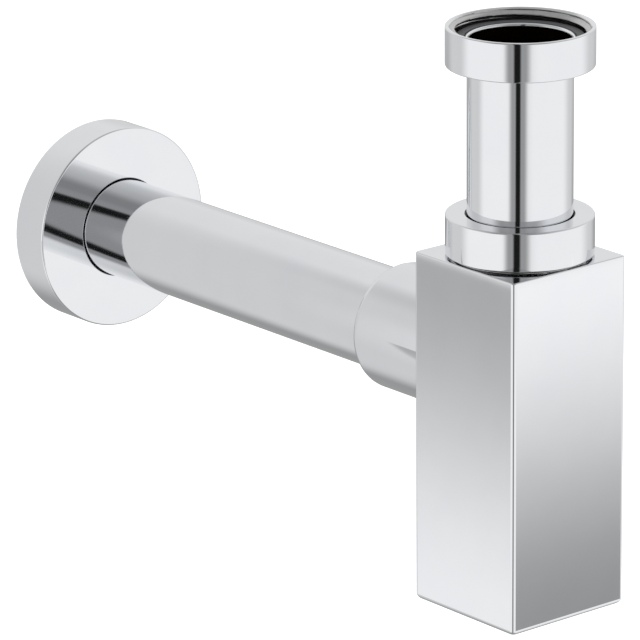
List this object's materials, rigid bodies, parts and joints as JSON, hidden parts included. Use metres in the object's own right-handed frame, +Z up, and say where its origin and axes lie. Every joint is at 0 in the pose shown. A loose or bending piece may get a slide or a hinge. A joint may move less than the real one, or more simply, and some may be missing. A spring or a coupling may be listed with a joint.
{
  "type": "sink trap",
  "caption": "Square-bodied basin bottle trap in chromed brass with a telescopic inlet, union nuts, a sliding outlet tube and a round wall flange.",
  "frame": {"origin": "centre of the waste seat, on the inlet axis, at the height where the basin waste's tail end meets the flat washer", "axes": "+Z up the inlet axis to the basin waste, +Y along the outlet tube to the wall, +X to the right of someone who faces the wall"},
  "size_m": [0.0666, 0.2495, 0.1857],
  "materials": {
    "chrome_plate": "mirror-polished brass, nickel and chrome plated",
    "nylon": "moulded natural nylon",
    "grey_rubber": "moulded grey rubber, matt",
    "black_rubber": "moulded black rubber, satin"
  },
  "bodies": {
    "inlet_tube": {"inlet_tube": "chrome_plate", "tube_collar": "chrome_plate", "waste_washer": "grey_rubber"},
    "waste_slip_ring": {"waste_slip_ring": "nylon"},
    "waste_nut": {"waste_nut": "chrome_plate"},
    "inlet_seal": {"inlet_seal": "black_rubber"},
    "trap_body": {"casing": "chrome_plate", "top_plate": "chrome_plate", "threaded_neck": "chrome_plate", "base_plate": "chrome_plate", "plug_boss": "chrome_plate", "outlet_socket": "chrome_plate", "socket_o_ring_inner": "black_rubber", "socket_o_ring_outer": "black_rubber"},
    "inlet_slip_ring": {"inlet_slip_ring": "nylon"},
    "inlet_nut": {"inlet_nut": "chrome_plate"},
    "plug_washer": {"plug_washer": "black_rubber"},
    "base_plug": {"base_plug": "chrome_plate"},
    "outlet_tube": {"outlet_tube": "chrome_plate"},
    "flange_o_ring": {"flange_o_ring": "black_rubber"},
    "wall_flange": {"wall_flange": "chrome_plate"}
  },
  "joints": [
    {"name": "waste_nut_drop", "type": "slide", "parent": "inlet_tube", "child": "waste_slip_ring", "axis": [0, 0, -1], "range_m": [0, 0.028]},
    {"name": "waste_nut_turn", "type": "hinge", "parent": "waste_slip_ring", "child": "waste_nut", "pos_m": [0, 0, 0], "axis": [0, 0, 1], "continuous": true},
    {"name": "height_slide", "type": "slide", "parent": "inlet_tube", "child": "inlet_seal", "axis": [0, 0, -1], "range_m": [-0.006, 0.03]},
    {"name": "body_swivel", "type": "hinge", "parent": "inlet_seal", "child": "trap_body", "pos_m": [0, 0, -0.0673], "axis": [0, 0, 1], "continuous": true},
    {"name": "inlet_nut_lift", "type": "slide", "parent": "trap_body", "child": "inlet_slip_ring", "axis": [0, 0, 1], "range_m": [0, 0.00693]},
    {"name": "inlet_nut_turn", "type": "hinge", "parent": "inlet_slip_ring", "child": "inlet_nut", "pos_m": [0, 0, -0.0606], "axis": [0, 0, 1], "range_deg": [0, 1080]},
    {"name": "plug_drop", "type": "slide", "parent": "trap_body", "child": "plug_washer", "axis": [0, 0, -1], "range_m": [0, 0.00545]},
    {"name": "plug_turn", "type": "hinge", "parent": "plug_washer", "child": "base_plug", "pos_m": [0, 0, -0.18], "axis": [0, 0, -1], "range_deg": [0, 1080]},
    {"name": "outlet_slide", "type": "slide", "parent": "trap_body", "child": "outlet_tube", "axis": [0, 1, 0], "range_m": [0, 0.012]},
    {"name": "flange_slide", "type": "slide", "parent": "outlet_tube", "child": "flange_o_ring", "axis": [0, -1, 0], "range_m": [0, 0.13]},
    {"name": "flange_turn", "type": "hinge", "parent": "flange_o_ring", "child": "wall_flange", "pos_m": [0, 0.2, -0.1026], "axis": [0, 1, 0], "continuous": true}
  ],
  "couplings": [
    {"joint": "inlet_nut_lift", "follows": "inlet_nut_turn", "m_per_rad": 0.0003675},
    {"joint": "plug_drop", "follows": "plug_turn", "m_per_rad": 0.00028875}
  ]
}
